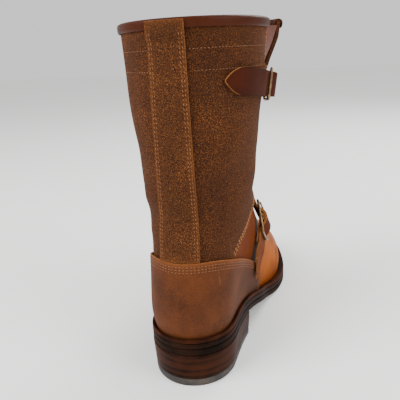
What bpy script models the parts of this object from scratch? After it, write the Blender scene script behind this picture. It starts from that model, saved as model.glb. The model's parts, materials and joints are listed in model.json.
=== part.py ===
"""An engineer boot for the right foot. The toe points to +Y, the outer side of the foot to +X, and the middle
of the heel's base is the origin, on the floor. Lengths are in metres. Inside the functions y runs from the back
of the upper at its heel, and the empty that carries the pieces moves it to the heel's middle."""

import math

import bmesh
import bpy
import numpy as np

# Sizes of the upper
UPPER_LENGTH = 0.289
BALL_WIDTH = 0.099
ANKLE_RISE = 0.104
SHAFT_RISE = 0.146
COLLAR_WIDTH = 0.118
COLLAR_DEPTH = 0.131
UPPER_WALL = 0.0019
SHAFT_LAP = 0.0011

# Sizes of the sole
HEEL_RISE = 0.031
HEEL_LENGTH = 0.084
HEEL_TAPER = 0.0015
LIFT_THICKNESS = 0.007
TOE_SPRING = 0.010
OUTSOLE_THICKNESS = 0.006
MIDSOLE_THICKNESS = 0.005
WELT_THICKNESS = 0.0035
WELT_MARGIN = 0.0065
INSOLE_THICKNESS = 0.004
SOLE_EDGE_ROUND = 0.0008

# Sizes of the pieces laid over the upper
COUNTER_HEIGHT = 0.068
COUNTER_LENGTH = 0.124
COUNTER_THICKNESS = 0.0018
STRIP_WIDTH = 0.031
STRIP_TOP_WIDTH = 0.0265
STRIP_THICKNESS = 0.0018
BINDING_HEIGHT = 0.0065
BINDING_THICKNESS = 0.0016
SLIT_WIDTH = 0.020
SLIT_DEPTH = 0.037
SLIT_FLARE = 0.016
FLARE_FOOT = 1.55
FLARE_HEIGHT = 1.4
GUSSET_THICKNESS = 0.0012
GUSSET_MARGIN = 0.006
GUSSET_DROP = 0.004
STRIP_CLIMB = 0.004
COUNTER_FADE = 0.016
CUT_REACH = 0.0015

# Sizes of the straps and buckles
STRAP_WIDTH = 0.020
STRAP_THICKNESS = 0.0022
TAB_THICKNESS = 0.0015
TAB_LENGTH = 0.0222
TAB_FOLD = 0.002
BUCKLE_WIRE = 0.0026
BUCKLE_LENGTH = 0.027
BUCKLE_PLAY = 0.0012
FRAME_CORNER = 0.0029
BAR_RISE = 0.0049
FRAME_TILT = 0.06
STRAP_CREST = 0.0083
PRONG_WIRE = 0.0018
PRONG_REACH = 0.0045
BAR_SHRINK = 0.00003
HOLE_PLAY = 0.0006
STRAP_POINT = 0.016
POINT_WIDTH = 0.0015
POINT_FULLNESS = 0.8
TOP_STRAP_LEAN = math.radians(-7)
TOP_STRAP_PLACE = 0.29
TOP_STRAP_DROP = 0.0495
TOP_STRAP_FIXED = 0.048
TOP_STRAP_FREE = 0.070
TOP_BAR_PHI = math.radians(106.5)
INSTEP_STRAP_LEAN = math.radians(64)
INSTEP_STRAP_PLACE = 0.42
INSTEP_STRAP_HEIGHT = 0.62
INSTEP_BAR_PHI = math.radians(109)
INSTEP_STRAP_FIXED = 0.134
INSTEP_STRAP_FREE = 0.047
INSTEP_TIP = 0.004
INSTEP_STRAP_HANG = 0.004

# Gap between pieces that touch on the real boot
GAP = 0.0003
SEAT_GAP = 0.0006
LAY_GAP = 0.00073
GUSSET_GAP = 0.0012

# How finely the curved pieces are divided
AROUND = 56
VAMP_ROWS = 7
SHAFT_ROWS = 12
COUNTER_ROWS = 6
STRAP_STEP = 0.008
LEAST_ROW = 0.01
LINING_LEAD = 0.1
CLIMB_ROWS = (2.0, 1.65, 1.35, 1.0)

# The sole's underside from heel to toe: place as a share of the upper's length, height as shares of the heel's
# rise and of the toe's spring
SOLE_LINE = (
    # place, heel_share, toe_share
    (0.00, 1.00, 0.00),
    (0.12, 0.98, 0.00),
    (0.25, 0.91, 0.00),
    (0.36, 0.68, 0.00),
    (0.47, 0.34, 0.00),
    (0.56, 0.08, 0.00),
    (0.62, 0.00, 0.00),
    (0.82, 0.00, 0.00),
    (0.92, 0.00, 0.34),
    (1.00, 0.00, 1.00),
)

# How far the sole stands out from the upper, as a share of the welt's margin
MARGIN_LINE = (
    # place, margin
    (0.00, 0.58),
    (0.28, 0.60),
    (0.44, 0.72),
    (0.60, 1.00),
    (1.00, 1.05),
)

# The foot's middle line, as a share of the ball's width towards the outer side
SWAY_LINE = (
    # place, sway
    (0.00, 0.000),
    (0.14, 0.000),
    (0.32, 0.030),
    (0.46, 0.048),
    (0.58, 0.040),
    (0.70, 0.008),
    (0.84, -0.030),
    (1.00, -0.060),
)

# Rings round the foot from the welt up to the ankle. Each is a slanting section from the heel's curve to the
# toe's curve: back_y, front_y in upper lengths, back_z, front_z above the sole in ankle rises, five widths
# along it in ball widths, the round ends as shares of the ring, and how far it keeps the sole's curves.
FOOT_RINGS = (
    # back_y, back_z, front_y, front_z, w_heel, w_shank, w_waist, w_ball, w_toe, back_round, front_round, follow
    (0.012, 0.00, 1.000, 0.00, 0.62, 0.60, 0.72, 1.00, 0.89, 0.110, 0.17, 1.00),
    (0.002, 0.12, 1.010, 0.09, 0.66, 0.64, 0.77, 1.05, 0.92, 0.115, 0.18, 0.85),
    (0.000, 0.22, 0.998, 0.23, 0.67, 0.67, 0.80, 0.97, 0.87, 0.120, 0.21, 0.60),
    (0.003, 0.34, 0.945, 0.36, 0.68, 0.70, 0.79, 0.87, 0.78, 0.140, 0.28, 0.35),
    (0.013, 0.48, 0.825, 0.46, 0.71, 0.73, 0.79, 0.81, 0.81, 0.180, 0.36, 0.18),
    (0.026, 0.65, 0.690, 0.60, 0.74, 0.77, 0.81, 0.82, 0.85, 0.240, 0.42, 0.08),
    (0.036, 0.83, 0.575, 0.81, 0.79, 0.81, 0.84, 0.85, 0.88, 0.360, 0.47, 0.03),
)

# Rings round the shaft from the ankle to the collar: back_y in upper lengths, depth in collar depths, height as
# a share of the shaft's rise, drop of the front edge in shaft rises, width in collar widths
SHAFT_RINGS = (
    # back_y, depth, height, front_drop, width
    (0.043, 0.985, 0.00, -0.030, 0.748),
    (0.044, 0.930, 0.16, -0.010, 0.785),
    (0.045, 0.935, 0.42, 0.000, 0.872),
    (0.047, 0.965, 0.71, 0.000, 0.930),
    (0.050, 1.000, 1.00, 0.000, 0.990),
)

WIDTH_PLACES = (0.12, 0.30, 0.50, 0.70, 0.88)

# The share of the ankle's rise from which the middle line begins to straighten
SWAY_FADE = 0.4

# The counter's top edge: place and height as shares of its length and height
COUNTER_LINE = (
    # place, height
    (0.00, 1.00),
    (0.10, 1.00),
    (0.35, 0.88),
    (0.62, 0.69),
    (0.82, 0.57),
    (0.93, 0.48),
    (1.00, 0.33),
)

# The shaft's lower edge where it laps over the vamp: place in upper lengths, height above the sole's top in
# ankle rises
LAP_LINE = (
    # place, height
    (0.00, 0.02),
    (0.04, 0.02),
    (0.095, 0.28),
    (0.15, 0.56),
    (0.19, 0.66),
    (0.24, 0.73),
    (0.30, 0.89),
    (0.38, 0.99),
    (0.50, 1.04),
    (0.62, 1.05),
)

# The strap's way through its buckle: place in half buckle lengths from the middle bar, towards the strap's fixed
# end, and height of its underside as a share of its crest over the bar
STRAP_ROUTE = (
    # place, height
    (-2.60, 0.03),
    (-2.15, 0.05),
    (-1.80, 0.22),
    (-0.85, 0.23),
    (-0.70, 0.34),
    (-0.45, 0.64),
    (-0.20, 0.91),
    (0.00, 1.00),
    (0.20, 0.91),
    (0.42, 0.58),
    (0.66, 0.17),
    (0.82, 0.03),
    (1.20, 0.01),
)


def slopes(xs, ys):
    """Slopes at the points of a table that keep the curve between them from overshooting."""
    steps = np.diff(xs)
    rises = np.diff(ys, axis=0) / steps.reshape((-1,) + (1,) * (ys.ndim - 1))
    inner = np.where(rises[1:] * rises[:-1] > 0, 2 * rises[1:] * rises[:-1] / (rises[1:] + rises[:-1] + 1e-30), 0)
    return np.concatenate([rises[:1], inner, rises[-1:]])


def through(xs, ys):
    """A smooth curve through the rows of a table, held level beyond its ends."""
    xs = np.asarray(xs, float)
    ys = np.asarray(ys, float)
    tangents = slopes(xs, ys)

    def value(x):
        x = np.clip(np.asarray(x, float), xs[0], xs[-1])
        i = np.clip(np.searchsorted(xs, x, side="right") - 1, 0, len(xs) - 2)
        step = xs[i + 1] - xs[i]
        t = (x - xs[i]) / step
        if ys.ndim > 1:
            t = t[..., None]
            step = step[..., None]
        low = (1 + 2 * t) * (1 - t) ** 2 * ys[i] + t * (1 - t) ** 2 * step * tangents[i]
        high = t * t * (3 - 2 * t) * ys[i + 1] + t * t * (t - 1) * step * tangents[i + 1]
        return low + high

    return value


def column(table, index):
    rows = np.array(table, float)
    return through(rows[:, 0], rows[:, index])


def ease(x):
    """0 below 0, 1 above 1, and a soft step between."""
    x = np.clip(x, 0.0, 1.0)
    return x * x * (3 - 2 * x)


# Heights of the sole's layers

heel_share = column(SOLE_LINE, 1)
toe_share = column(SOLE_LINE, 2)
margin_share = column(MARGIN_LINE, 1)
sway_share = column(SWAY_LINE, 1)


def sole_under(y):
    """Height of the outsole's underside."""
    place = y / UPPER_LENGTH
    return HEEL_RISE * heel_share(place) + TOE_SPRING * toe_share(place)


def outsole_top(y):
    return sole_under(y) + OUTSOLE_THICKNESS


def midsole_top(y):
    return outsole_top(y) + GAP + MIDSOLE_THICKNESS


def upper_foot(y):
    """Height of the upper's lower edge."""
    return midsole_top(y) + SEAT_GAP


def welt_top(y):
    return upper_foot(y) + WELT_THICKNESS


# The upper's surface

SEAT_Z = float(upper_foot(0.0))
TOE_Z = float(upper_foot(UPPER_LENGTH))
ANKLE_Z = SEAT_Z + ANKLE_RISE
COLLAR_Z = ANKLE_Z + SHAFT_RISE


def ring_table():
    """The foot's and the shaft's rings in metres, as rows of one table."""
    rows = []
    for back_y, back_z, front_y, front_z, *widths, back_round, front_round, follow in FOOT_RINGS:
        sway = 1 - ease((back_z - SWAY_FADE) / (1 - SWAY_FADE))
        rows.append(
            [
                back_y * UPPER_LENGTH,
                SEAT_Z + back_z * ANKLE_RISE,
                front_y * UPPER_LENGTH,
                TOE_Z + front_z * ANKLE_RISE,
                *(width * BALL_WIDTH for width in widths),
                back_round,
                front_round,
                follow,
                sway,
            ]
        )
    for back_y, depth, height, front_drop, width in SHAFT_RINGS:
        back_z = ANKLE_Z + height * SHAFT_RISE
        rows.append(
            [
                back_y * UPPER_LENGTH,
                back_z,
                back_y * UPPER_LENGTH + depth * COLLAR_DEPTH,
                back_z + front_drop * SHAFT_RISE,
                *(width * COLLAR_WIDTH for _ in WIDTH_PLACES),
                0.5,
                0.5,
                0.0,
                0.0,
            ]
        )
    return np.array(rows)


RINGS = ring_table()
RING_HEIGHTS = (RINGS[:, 1] + RINGS[:, 3]) / 2
RING_PLACES = (RING_HEIGHTS - RING_HEIGHTS[0]) / (RING_HEIGHTS[-1] - RING_HEIGHTS[0])
ring_at = through(RING_PLACES, RINGS)


def width_along(widths, a):
    """The ring's width at share a of its length, smoothly through its five widths."""
    places = np.array(WIDTH_PLACES)
    a = np.clip(a, places[0], places[-1])
    i = np.clip(np.searchsorted(places, a, side="right") - 1, 0, len(places) - 2)
    before = np.take_along_axis(widths, np.maximum(i - 1, 0)[..., None], -1)[..., 0]
    low = np.take_along_axis(widths, i[..., None], -1)[..., 0]
    high = np.take_along_axis(widths, (i + 1)[..., None], -1)[..., 0]
    after = np.take_along_axis(widths, np.minimum(i + 2, len(places) - 1)[..., None], -1)[..., 0]
    step = places[i + 1] - places[i]
    t = (a - places[i]) / step
    rise = (high - low) / step
    start = np.where(i > 0, (high - before) / (places[i + 1] - places[np.maximum(i - 1, 0)]), rise)
    beyond = places[np.minimum(i + 2, len(places) - 1)]
    end = np.where(i < len(places) - 2, (after - low) / (beyond - places[i]), rise)
    curve = (1 + 2 * t) * (1 - t) ** 2 * low + t * (1 - t) ** 2 * step * start
    return curve + t * t * (3 - 2 * t) * high + t * t * (t - 1) * step * end


SLIT_REAR = math.radians(101.5)
SLIT_SPAN = SLIT_WIDTH / (0.5 * COLLAR_DEPTH)
FLARE_FADE = math.radians(50)


def flare(phi, z):
    """How far the front edge of the slit stands out: rising across the slit, fading to the front and downwards."""
    across = ease((phi - SLIT_REAR) / SLIT_SPAN)
    ahead = 1 - ease((phi - SLIT_REAR - SLIT_SPAN) / FLARE_FADE)
    upwards = ease((z - COLLAR_Z + FLARE_FOOT * SLIT_DEPTH) / (FLARE_HEIGHT * SLIT_DEPTH))
    return SLIT_FLARE * across * ahead * upwards


def surface(phi, v):
    """The upper's outer surface. phi runs round it: 0 at the back, 90 degrees at the outer side, 180 degrees at
    the front. v runs from 0 at the welt to 1 at the collar."""
    phi, v = np.broadcast_arrays(np.asarray(phi, float), np.asarray(v, float))
    turned = np.mod(phi, 2 * math.pi)
    row = ring_at(v)
    a = (1 - np.cos(turned)) / 2
    back_round, front_round, follow, sway = (row[..., k] for k in (9, 10, 11, 12))
    back_end = np.sqrt(1 - np.maximum(0, 1 - a / back_round) ** 2)
    front_end = np.sqrt(1 - np.maximum(0, 1 - (1 - a) / front_round) ** 2)
    half = 0.5 * width_along(row[..., 4:9], a) * back_end * front_end
    side = np.where(turned <= math.pi, 1.0, -1.0)
    y = row[..., 0] + (row[..., 2] - row[..., 0]) * a
    straight = SEAT_Z + (TOE_Z - SEAT_Z) * np.clip(y / UPPER_LENGTH, 0, 1)
    z = row[..., 1] + (row[..., 3] - row[..., 1]) * a + follow * (upper_foot(y) - straight)
    x = sway * BALL_WIDTH * sway_share(y / UPPER_LENGTH) + side * half
    out = flare(turned, z)
    return np.stack([x + out * np.sin(turned), y - out * np.cos(turned), z], -1)


def normal(phi, v):
    """Unit normal of the surface, pointing out of the boot."""
    small = 1e-4
    low = np.clip(np.asarray(v, float) - small, 0, 1)
    high = np.clip(np.asarray(v, float) + small, 0, 1)
    up = surface(phi, high) - surface(phi, low)
    along = surface(np.asarray(phi) + small, v) - surface(np.asarray(phi) - small, v)
    n = np.cross(along, up)
    return n / np.linalg.norm(n, axis=-1, keepdims=True)


def lifted(phi, v, lift):
    """A point at this height over the upper's surface, or under it where the height is negative."""
    point = surface(phi, v) + normal(phi, v) * np.asarray(lift, float)[..., None]
    point[..., 2] = np.maximum(point[..., 2], upper_foot(point[..., 1]))
    return point


def solve(function, low, high):
    """Where each of the rising functions passes zero, by halving."""
    low = np.array(low, float)
    high = np.array(high, float)
    for _ in range(40):
        middle = (low + high) / 2
        below = function(middle) < 0
        low = np.where(below, middle, low)
        high = np.where(below, high, middle)
    return (low + high) / 2


def v_at_height(phi, z):
    """The place up the surface where it reaches this height."""
    phi = np.asarray(phi, float)
    return solve(lambda v: surface(phi, v)[..., 2] - z, np.zeros(phi.shape), np.ones(phi.shape))


def v_on_line(phi, line):
    """The place up the surface where it crosses a line drawn on the boot's side, height over y."""
    phi = np.asarray(phi, float)

    def above(v):
        point = surface(phi, v)
        return point[..., 2] - line(point[..., 1])

    return solve(above, np.zeros(phi.shape), np.ones(phi.shape))


# Meshes and objects

def new_object(name, points, faces, material):
    mesh = bpy.data.meshes.new(name)
    mesh.from_pydata([tuple(map(float, point)) for point in points], [], faces)
    mesh.shade_smooth()
    mesh.set_sharp_from_angle(angle=math.radians(35))
    mesh.materials.append(material)
    obj = bpy.data.objects.new(name, mesh)
    bpy.context.scene.collection.objects.link(obj)
    return obj


def outwards(obj):
    """Turns the faces of a closed piece outwards."""
    mesh = bmesh.new()
    mesh.from_mesh(obj.data)
    bmesh.ops.recalc_face_normals(mesh, faces=mesh.faces)
    mesh.to_mesh(obj.data)
    mesh.free()
    return obj


def as_cutter(obj):
    obj.hide_render = True
    obj.display_type = "WIRE"
    return outwards(obj)


def combine(obj, other, operation):
    modifier = obj.modifiers.new(other.name, "BOOLEAN")
    modifier.operation = operation
    modifier.solver = "EXACT"
    modifier.object = other


def cut(obj, cutter):
    combine(obj, cutter, "DIFFERENCE")


def join(obj, other):
    combine(obj, other, "UNION")


def leather(name, colour, roughness, metallic=0.0):
    material = bpy.data.materials.new(name)
    material.use_nodes = True
    shader = material.node_tree.nodes["Principled BSDF"]
    shader.inputs["Base Color"].default_value = (*colour, 1.0)
    shader.inputs["Roughness"].default_value = roughness
    shader.inputs["Metallic"].default_value = metallic
    return material


def walled(name, outer, inner, material, round_closed=False):
    """A solid wall between two grids of points. Rows run up, columns run round; the wall is closed at its rims."""
    rows, columns = outer.shape[:2]
    points = np.concatenate([outer.reshape(-1, 3), inner.reshape(-1, 3)])
    offset = rows * columns
    faces = []
    last = columns if round_closed else columns - 1
    for r in range(rows - 1):
        for c in range(last):
            d = (c + 1) % columns
            a, b, e, f = r * columns + c, r * columns + d, (r + 1) * columns + d, (r + 1) * columns + c
            faces.append((a, b, e, f))
            faces.append((offset + a, offset + f, offset + e, offset + b))
    for c in range(last):
        d = (c + 1) % columns
        top = (rows - 1) * columns
        faces.append((c, offset + c, offset + d, d))
        faces.append((top + c, top + d, offset + top + d, offset + top + c))
    if not round_closed:
        for r in range(rows - 1):
            a, b = r * columns, (r + 1) * columns
            c, d = a + columns - 1, b + columns - 1
            faces.append((a, b, offset + b, offset + a))
            faces.append((c, offset + c, offset + d, d))
    return new_object(name, points, faces, material)


def layered(name, levels, material):
    """A solid of levels. Each level is a row of points down the outer side and one down the inner side, which
    meet at the back, and at the front too where the last pair is one point."""
    count = levels[0].shape[0]
    points = []
    index = np.zeros((len(levels), count, 2), int)
    for k, level in enumerate(levels):
        for i in range(count):
            single = np.linalg.norm(level[i, 0] - level[i, 1]) < 1e-9
            index[k, i, 0] = len(points)
            points.append(level[i, 0])
            index[k, i, 1] = index[k, i, 0] if single else len(points)
            if not single:
                points.append(level[i, 1])
    faces = []

    def add(*corners):
        kept = list(dict.fromkeys(int(corner) for corner in corners))
        if len(kept) > 2:
            faces.append(tuple(kept))

    for i in range(count - 1):
        low, high = index[0], index[-1]
        add(low[i, 0], low[i, 1], low[i + 1, 1], low[i + 1, 0])
        add(high[i, 0], high[i + 1, 0], high[i + 1, 1], high[i, 1])
        for k in range(len(levels) - 1):
            add(index[k, i, 0], index[k, i + 1, 0], index[k + 1, i + 1, 0], index[k + 1, i, 0])
            add(index[k, i, 1], index[k + 1, i, 1], index[k + 1, i + 1, 1], index[k, i + 1, 1])
    for k in range(len(levels) - 1):
        add(index[k, -1, 0], index[k, -1, 1], index[k + 1, -1, 1], index[k + 1, -1, 0])
    return new_object(name, points, faces, material)


# Outlines of the sole

def edge_line(phi, outset):
    """The line at this distance outside the upper's lower edge, seen from above."""
    small = 1e-4
    here = surface(phi, 0.0)[..., :2]
    along = surface(phi + small, 0.0)[..., :2] - surface(phi - small, 0.0)[..., :2]
    out = np.stack([along[..., 1], -along[..., 0]], -1)
    out /= np.linalg.norm(out, axis=-1, keepdims=True)
    return here + out * np.asarray(outset)[..., None]


def sole_margin(phi):
    return WELT_MARGIN * margin_share(surface(phi, 0.0)[..., 1] / UPPER_LENGTH) + over_upper(phi)


def flat(z):
    """A level height, as a function of y like the sole's curved ones."""
    return lambda y: z + 0 * y


def below(height, drop):
    return lambda y: height(y) - drop


def at_height(line, height):
    """A line seen from above, at this height."""
    return np.concatenate([line, height(line[:, 1])[:, None]], -1)


def level(outset, height, last_phi=math.pi, count=AROUND // 2 + 1):
    """One level of a sole layer: outer and inner side points at an outset from the upper's edge."""
    phi = np.linspace(0.0, last_phi, count)
    sides = []
    for sign in (1, -1):
        flat = edge_line(sign * phi, outset(sign * phi))
        sides.append(np.concatenate([flat, height(flat[:, 1])[:, None]], -1))
    sides = np.stack(sides, 1)
    sides[0, 1] = sides[0, 0]
    if last_phi == math.pi:
        sides[-1, 1] = sides[-1, 0]
    return sides


def sole_layer(name, low, high, material):
    """A full-length layer of the sole with its edges a little rounded."""
    rounded = SOLE_EDGE_ROUND
    levels = [
        level(lambda p: sole_margin(p) - rounded, low),
        level(sole_margin, lambda y: low(y) + rounded),
        level(sole_margin, lambda y: high(y) - rounded),
        level(lambda p: sole_margin(p) - rounded, high),
    ]
    return layered(name, levels, material)


def heel_layer(name, low, high, shares, material):
    """A layer of the heel, which narrows from the sole (share 0) to the floor (share 1)."""
    low_share, high_share = shares
    last = math.acos(1 - 2 * HEEL_LENGTH / UPPER_LENGTH)
    count = AROUND // 4 + 1
    levels = []
    for height, share, inset in (
        (low, low_share, SOLE_EDGE_ROUND),
        (lambda y: low(y) + SOLE_EDGE_ROUND, low_share, 0),
        (lambda y: high(y) - SOLE_EDGE_ROUND, high_share, 0),
        (high, high_share, SOLE_EDGE_ROUND),
    ):
        levels.append(
            level(lambda p: sole_margin(p) - share * HEEL_TAPER - inset, height, last, count)
        )
    return layered(name, levels, material)


def make_sole():
    rubber = leather("rubber", (0.035, 0.028, 0.022), 0.5)
    stacked = leather("stacked_leather", (0.040, 0.028, 0.020), 0.4)
    edge = leather("edge_leather", (0.060, 0.045, 0.034), 0.45)
    inner = leather("insole_leather", (0.33, 0.19, 0.10), 0.7)
    lift_share = 1 - LIFT_THICKNESS / HEEL_RISE
    made = [
        heel_layer("heel_lift", flat(0.0), flat(LIFT_THICKNESS), (1.0, lift_share), rubber),
        heel_layer("heel_stack", flat(LIFT_THICKNESS + GAP), below(sole_under, GAP), (lift_share, 0.0), stacked),
        sole_layer("outsole", sole_under, outsole_top, rubber),
        sole_layer("midsole", below(outsole_top, -GAP), midsole_top, edge),
    ]
    inset = UPPER_WALL + 2 * GAP
    heights = (upper_foot, below(upper_foot, -INSOLE_THICKNESS))
    footbed = [level(lambda p: -inset + 0 * p, height) for height in heights]
    made.append(layered("insole", footbed, inner))
    return made


def over_upper(phi):
    """Thickness of what lies over the upper at its lower edge: the shaft's lap and, at the back, the counter."""
    y = surface(phi, 0.0)[..., 1]
    ahead = y - COUNTER_LENGTH - COUNTER_FADE / 2
    return (SHAFT_LAP + LAY_GAP + COUNTER_THICKNESS) * (1 - ease(ahead / COUNTER_FADE))


def make_welt():
    material = leather("welt_leather", (0.16, 0.055, 0.030), 0.5)
    phi = np.linspace(0, 2 * math.pi, AROUND, endpoint=False)
    edge = edge_line(phi, sole_margin(phi))
    brow = edge_line(phi, sole_margin(phi) - SOLE_EDGE_ROUND)
    foot = edge_line(phi, over_upper(phi) + GAP)
    neck = lifted(phi, v_on_line(phi, welt_top), over_upper(phi) + GAP)
    outer = [
        at_height(edge, upper_foot),
        at_height(edge, lambda y: welt_top(y) - SOLE_EDGE_ROUND),
        at_height(brow, welt_top),
    ]
    inner = [at_height(foot, upper_foot), (at_height(foot, upper_foot) + neck) / 2, neck]
    return walled("welt", np.stack(outer), np.stack(inner), material, True)


# The upper

lap_height = column(LAP_LINE, 1)
counter_height = column(COUNTER_LINE, 1)


def lap_edge(y):
    """Height of the shaft's lower edge over the boot's side."""
    return upper_foot(np.clip(y, 0, UPPER_LENGTH)) + ANKLE_RISE * lap_height(y / UPPER_LENGTH)


def counter_top(y):
    """Height of the counter's top edge over the boot's side."""
    return upper_foot(np.clip(y, 0, UPPER_LENGTH)) + COUNTER_HEIGHT * counter_height(y / COUNTER_LENGTH)


def slit_panel(name, tops, shares, outer_lift, inner_lift, material):
    """A piece of wall in or behind the slit. tops are heights under the collar, shares the two sides of each as
    shares of the slit's width."""
    columns = np.linspace(0.0, 1.0, 9)
    phi = np.array([SLIT_REAR + SLIT_SPAN * (low + (high - low) * columns) for low, high in shares])
    drop = np.array(tops)[:, None] + 0 * phi
    v = v_at_height(phi, COLLAR_Z - np.maximum(drop, 0.0))
    rise = np.stack([0 * phi, 0 * phi, np.maximum(-drop, 0.0)], -1)
    outer = lifted(phi, v, outer_lift + 0 * phi) + rise
    inner = lifted(phi, v, inner_lift + 0 * phi) + rise
    return walled(name, outer, inner, material)


def make_slit_cutter(material):
    half = SLIT_WIDTH / 2
    turns = np.radians((87, 64, 42, 21, 0))
    drops = [SLIT_DEPTH - half + half * math.sin(turn) for turn in turns] + [SLIT_DEPTH / 3, -CUT_REACH]
    shares = [(0.5 - 0.5 * math.cos(turn), 0.5 + 0.5 * math.cos(turn)) for turn in turns] + [(0, 1), (0, 1)]
    cutter = slit_panel("slit_cutter", drops, shares, SHAFT_LAP + CUT_REACH, -UPPER_WALL - CUT_REACH, material)
    return as_cutter(cutter)


def make_upper():
    material = leather("upper_leather", (0.16, 0.060, 0.024), 0.75)
    phi = np.linspace(0, 2 * math.pi, AROUND, endpoint=False)
    lap = np.maximum(v_on_line(phi, lap_edge), LEAST_ROW)
    vamp = [lap * r / VAMP_ROWS for r in range(VAMP_ROWS + 1)]
    shaft = [lap + (1 - lap) * r / SHAFT_ROWS for r in range(SHAFT_ROWS + 1)]
    outer = [lifted(phi, v, 0 * phi) for v in vamp] + [lifted(phi, v, SHAFT_LAP + 0 * phi) for v in shaft]
    places = [(r + LINING_LEAD) / (SHAFT_ROWS + LINING_LEAD) for r in range(SHAFT_ROWS + 1)]
    inner_places = vamp + [lap + (1 - lap) * place for place in places]
    inner = [lifted(phi, v, -UPPER_WALL + 0 * phi) for v in inner_places]
    upper = walled("upper", np.stack(outer), np.stack(inner), material, True)
    cut(upper, make_slit_cutter(material))
    return upper


def make_gusset():
    side = GUSSET_MARGIN / SLIT_WIDTH
    notch = 3 * GAP / SLIT_WIDTH
    under_binding = BINDING_HEIGHT + GAP
    wide, narrow = (-side, 1 + side), (notch, 1 - notch)
    foot = SLIT_DEPTH + GUSSET_MARGIN
    drops = (foot, SLIT_DEPTH, SLIT_DEPTH / 2, under_binding, under_binding - GAP / 2, GUSSET_DROP)
    shares = ((side, 1 - side), wide, wide, wide, narrow, narrow)
    material = leather("gusset_leather", (0.15, 0.075, 0.070), 0.45)
    outer_lift = -UPPER_WALL - GUSSET_GAP
    return slit_panel("gusset", drops, shares, outer_lift, outer_lift - GUSSET_THICKNESS, material)


def make_counter():
    material = leather("counter_leather", (0.20, 0.080, 0.032), 0.65)
    last = math.acos(1 - 2 * COUNTER_LENGTH / UPPER_LENGTH)
    step = 2 * math.pi / AROUND
    whole = int(last / step)
    phi = np.concatenate([[-last], step * np.arange(-whole, whole + 1), [last]])
    top = v_on_line(phi, counter_top)
    places = [top * r / COUNTER_ROWS for r in range(COUNTER_ROWS + 1)]
    lift = SHAFT_LAP + LAY_GAP + 0 * phi
    outer = [lifted(phi, v, lift + COUNTER_THICKNESS) for v in places]
    inner = [lifted(phi, v, lift) for v in places]
    return walled("counter", np.stack(outer), np.stack(inner), material)


def make_back_strip():
    """The strip up the back, which climbs over the collar's binding at its top."""
    material = leather("strip_leather", (0.15, 0.058, 0.024), 0.8)
    limit = np.full(7, math.radians(80))
    foot = float(v_on_line(0.0, lambda y: counter_top(y) + 2 * GAP))
    rows = np.arange(1, SHAFT_ROWS) / SHAFT_ROWS
    climbing = v_at_height(np.zeros(len(CLIMB_ROWS)), COLLAR_Z - BINDING_HEIGHT - STRIP_CLIMB * np.array(CLIMB_ROWS))
    outer, inner = [], []
    for v in np.concatenate([[foot], rows[rows > foot + LEAST_ROW], climbing, [1.0]]):
        width = STRIP_WIDTH + (STRIP_TOP_WIDTH - STRIP_WIDTH) * (v - foot) / (1 - foot)
        across = np.linspace(-width / 2, width / 2, len(limit))
        phi = solve(lambda p: surface(p, v)[..., 0] - across, -limit, limit)
        z = surface(phi, v)[..., 2]
        climb = ease((z - (COLLAR_Z - BINDING_HEIGHT - 2 * STRIP_CLIMB)) / STRIP_CLIMB)
        lift = SHAFT_LAP + LAY_GAP + climb * (BINDING_THICKNESS + GAP)
        inner.append(lifted(phi, v, lift))
        outer.append(lifted(phi, v, lift + STRIP_THICKNESS))
    return walled("back_strip", np.stack(outer), np.stack(inner), material)


def make_binding():
    """The leather folded over the shaft's top edge, from the slit's front edge round to its rear edge. It bends
    where the upper's own facets meet, and its ends lie on them."""
    material = leather("binding_leather", (0.20, 0.075, 0.045), 0.4)
    outside, inside = SHAFT_LAP + LAY_GAP, -UPPER_WALL - LAY_GAP
    middle, half = (outside + inside) / 2, (outside - inside) / 2 + BINDING_THICKNESS
    corner = 0.7 * BINDING_THICKNESS
    section = [(outside, -BINDING_HEIGHT), (outside + BINDING_THICKNESS, corner - BINDING_HEIGHT)]
    for turn in np.radians((0, 45, 90, 135, 180)):
        section.append((middle + half * math.cos(turn), (BINDING_THICKNESS + GAP) * math.sin(turn)))
    section.append((inside - BINDING_THICKNESS, corner - BINDING_HEIGHT))
    section += [(inside, -BINDING_HEIGHT), (inside, GAP), (outside, GAP)]
    start = SLIT_REAR + SLIT_SPAN + GAP / COLLAR_DEPTH
    end = SLIT_REAR + 2 * math.pi - GAP / COLLAR_DEPTH
    step = 2 * math.pi / AROUND
    columns = step * np.arange(math.floor(start / step), math.ceil(end / step) + 1)
    phi = np.concatenate([[start], columns[1:-1], [end]])
    rings = []
    for lift, rise in section:
        v = v_at_height(columns, COLLAR_Z + np.minimum(rise, 0.0) + 0 * columns)
        facets = lifted(columns, v, lift + 0 * columns)
        ring = np.stack([np.interp(phi, columns, facets[:, k]) for k in range(3)], -1)
        ring[:, 2] += max(rise, 0.0)
        rings.append(ring)
    return bar("collar_binding", np.stack(rings, 1), material)


# Straps and buckles

class Belt:
    """A strap's way round the upper, between two parallel planes. s runs along it from the buckle's middle bar
    towards the strap's fixed end, w across it and h over the leather."""

    def __init__(self, lean, place, bar_phi):
        self.axis = np.array([0.0, -math.sin(lean), math.cos(lean)])
        self.middle = float(self.axis @ np.array([0.0, *place]))
        self.phi = np.linspace(bar_phi - math.radians(75), bar_phi + math.radians(210), 400)
        centre = surface(self.phi, self.v_of(self.phi, 0 * self.phi))
        steps = np.linalg.norm(np.diff(centre, axis=0), axis=1)
        self.s = np.concatenate([[0.0], np.cumsum(steps)])
        self.s -= np.interp(bar_phi, self.phi, self.s)

    def v_of(self, phi, w):
        zero = np.zeros(np.shape(phi))
        return solve(lambda v: surface(phi, v) @ self.axis - self.middle - w, zero, zero + 1)

    def at(self, s, w, h):
        s, w, h = np.broadcast_arrays(*(np.asarray(value, float) for value in (s, w, h)))
        phi = np.interp(s, self.s, self.phi)
        return lifted(phi, self.v_of(phi, w), SHAFT_LAP + LAY_GAP + h)


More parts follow.
